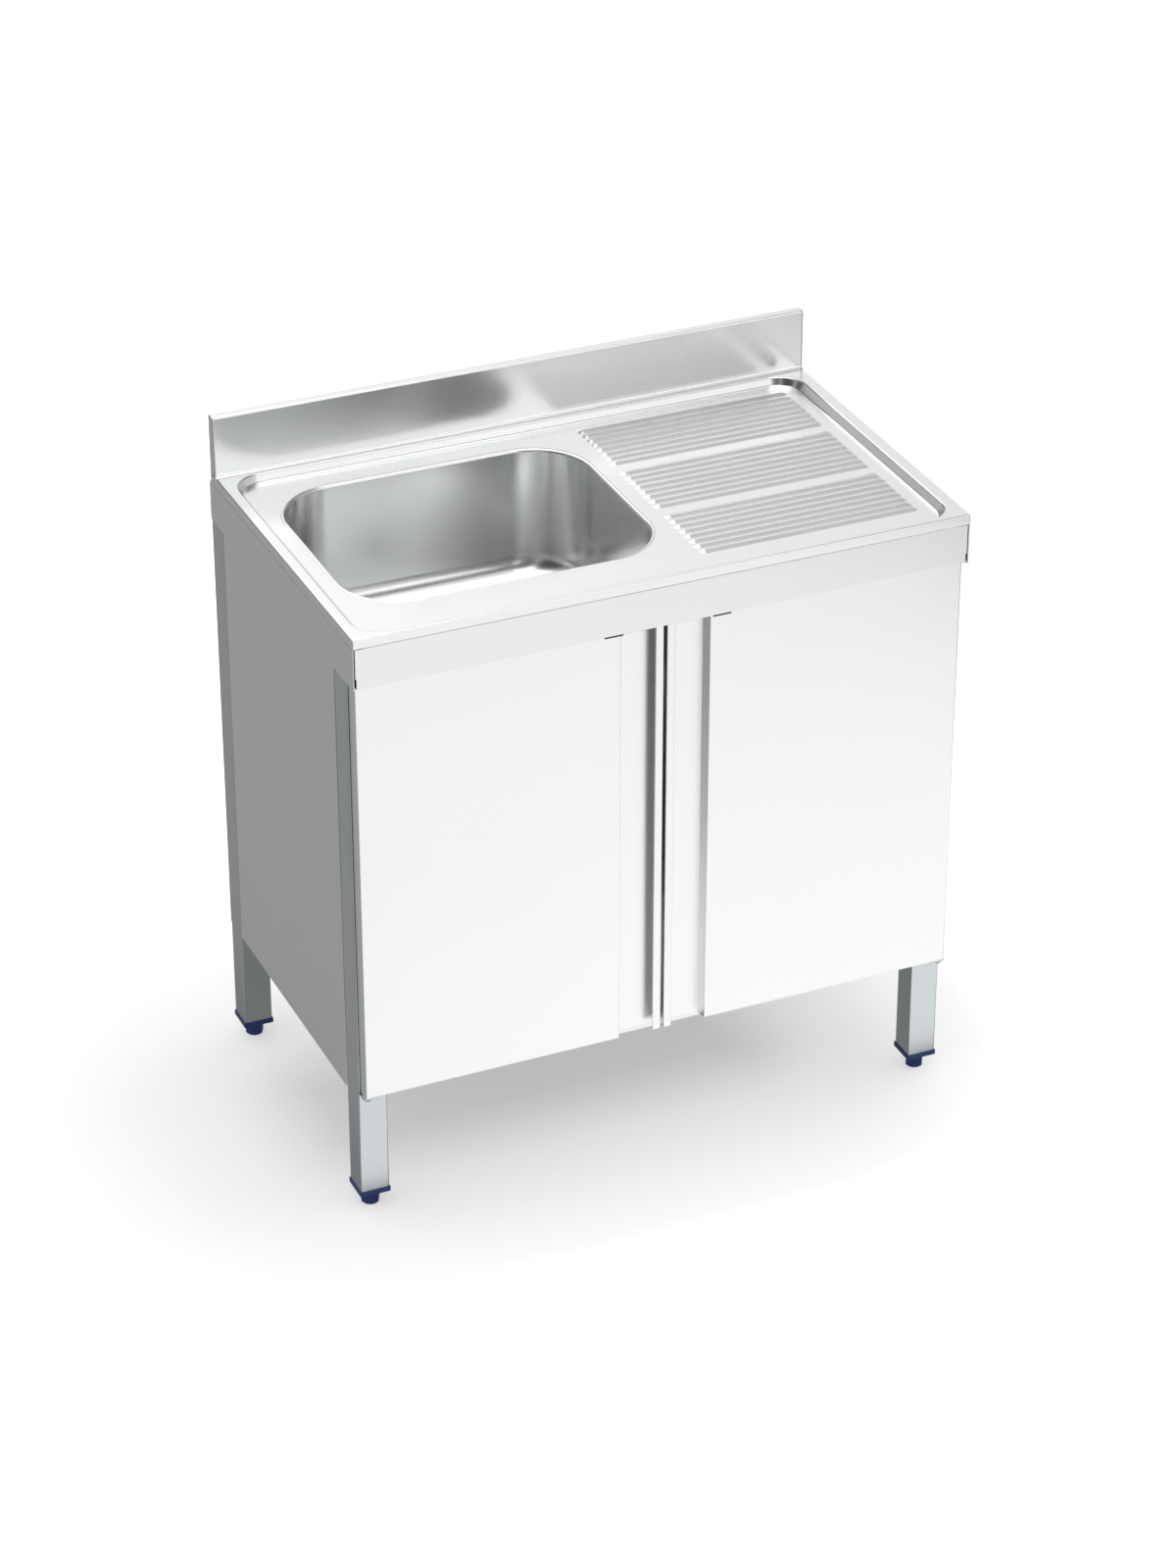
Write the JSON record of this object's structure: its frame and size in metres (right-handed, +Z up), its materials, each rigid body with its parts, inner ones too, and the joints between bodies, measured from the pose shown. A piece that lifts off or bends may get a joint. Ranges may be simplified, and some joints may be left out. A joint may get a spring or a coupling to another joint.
{
  "type": "sink unit",
  "caption": "Stainless steel sink unit: pressed tray top with bowl and ribbed drainer, rear upstand, cabinet with two hinged doors, square legs and levelling feet.",
  "frame": {"origin": "middle of the box round the unit, at the floor", "axes": "+X to the right as seen from the front, +Y to the back, +Z up"},
  "size_m": [0.85, 0.515, 0.95],
  "materials": {
    "worktop_steel": "satin stainless steel",
    "bowl_steel": "satin stainless steel, a little brighter",
    "cabinet_steel": "fine satin stainless steel",
    "door_steel": "fine satin stainless steel",
    "frame_steel": "satin stainless steel tube",
    "bright_steel": "plated steel",
    "blue_plastic": "moulded nylon",
    "black_plastic": "moulded plastic",
    "black_rubber": "plain rubber",
    "white_plastic": "moulded plastic"
  },
  "bodies": {
    "cabinet": {"worktop": "worktop_steel", "splash_end_cap_left": "cabinet_steel", "splash_end_cap_right": "cabinet_steel", "bowl": "bowl_steel", "waste_flange": "bowl_steel", "waste_gasket": "black_rubber", "waste_nut": "black_plastic", "waste_tailpiece": "white_plastic", "drainer_stiffeners": "frame_steel", "leg_front_left": "frame_steel", "leg_front_right": "frame_steel", "leg_rear_left": "frame_steel", "leg_rear_right": "frame_steel", "foot_cap_front_left": "blue_plastic", "foot_cap_front_right": "blue_plastic", "foot_cap_rear_left": "blue_plastic", "foot_cap_rear_right": "blue_plastic", "top_rail_front": "frame_steel", "top_rail_rear": "frame_steel", "top_rail_left": "frame_steel", "top_rail_right": "frame_steel", "front_apron": "cabinet_steel", "side_panel_left": "cabinet_steel", "side_panel_right": "cabinet_steel", "back_panel": "cabinet_steel", "bottom_shelf": "cabinet_steel", "shelf_stiffener": "frame_steel", "top_hinge_plate_left": "frame_steel", "top_hinge_plate_right": "frame_steel", "bottom_hinge_plate_left": "frame_steel", "bottom_hinge_plate_right": "frame_steel", "top_pivot_pin_left": "bright_steel", "top_pivot_pin_right": "bright_steel", "bottom_pivot_pin_left": "bright_steel", "bottom_pivot_pin_right": "bright_steel", "thrust_washer_left": "white_plastic", "thrust_washer_right": "white_plastic", "catch_left": "black_plastic", "catch_right": "black_plastic", "catch_screws": "bright_steel", "hinge_plate_screws": "bright_steel", "door_buffers": "black_rubber"},
    "left_door": {"left_door_skin": "door_steel", "left_door_liner": "door_steel", "left_door_top_bush": "white_plastic", "left_door_bottom_bush": "white_plastic", "left_strike": "bright_steel"},
    "right_door": {"right_door_skin": "door_steel", "right_door_liner": "door_steel", "right_door_top_bush": "white_plastic", "right_door_bottom_bush": "white_plastic", "right_strike": "bright_steel"},
    "plug": {"waste_plug": "bowl_steel"},
    "foot_front_left": {"levelling_foot_front_left": "blue_plastic"},
    "foot_front_right": {"levelling_foot_front_right": "blue_plastic"},
    "foot_rear_left": {"levelling_foot_rear_left": "blue_plastic"},
    "foot_rear_right": {"levelling_foot_rear_right": "blue_plastic"}
  },
  "joints": [
    {"name": "left_door_hinge", "type": "hinge", "parent": "cabinet", "child": "left_door", "pos_m": [-0.415, -0.239, 0.49], "axis": [0, 0, -1], "range_deg": [0, 110]},
    {"name": "right_door_hinge", "type": "hinge", "parent": "cabinet", "child": "right_door", "pos_m": [0.415, -0.239, 0.49], "axis": [0, 0, 1], "range_deg": [0, 110]},
    {"name": "plug_lift", "type": "slide", "parent": "cabinet", "child": "plug", "axis": [0, 0, 1], "range_m": [0, 0.05]},
    {"name": "foot_front_left_screw", "type": "slide", "parent": "cabinet", "child": "foot_front_left", "axis": [0, 0, -1], "range_m": [0, 0.025]},
    {"name": "foot_front_right_screw", "type": "slide", "parent": "cabinet", "child": "foot_front_right", "axis": [0, 0, -1], "range_m": [0, 0.025]},
    {"name": "foot_rear_left_screw", "type": "slide", "parent": "cabinet", "child": "foot_rear_left", "axis": [0, 0, -1], "range_m": [0, 0.025]},
    {"name": "foot_rear_right_screw", "type": "slide", "parent": "cabinet", "child": "foot_rear_right", "axis": [0, 0, -1], "range_m": [0, 0.025]}
  ]
}
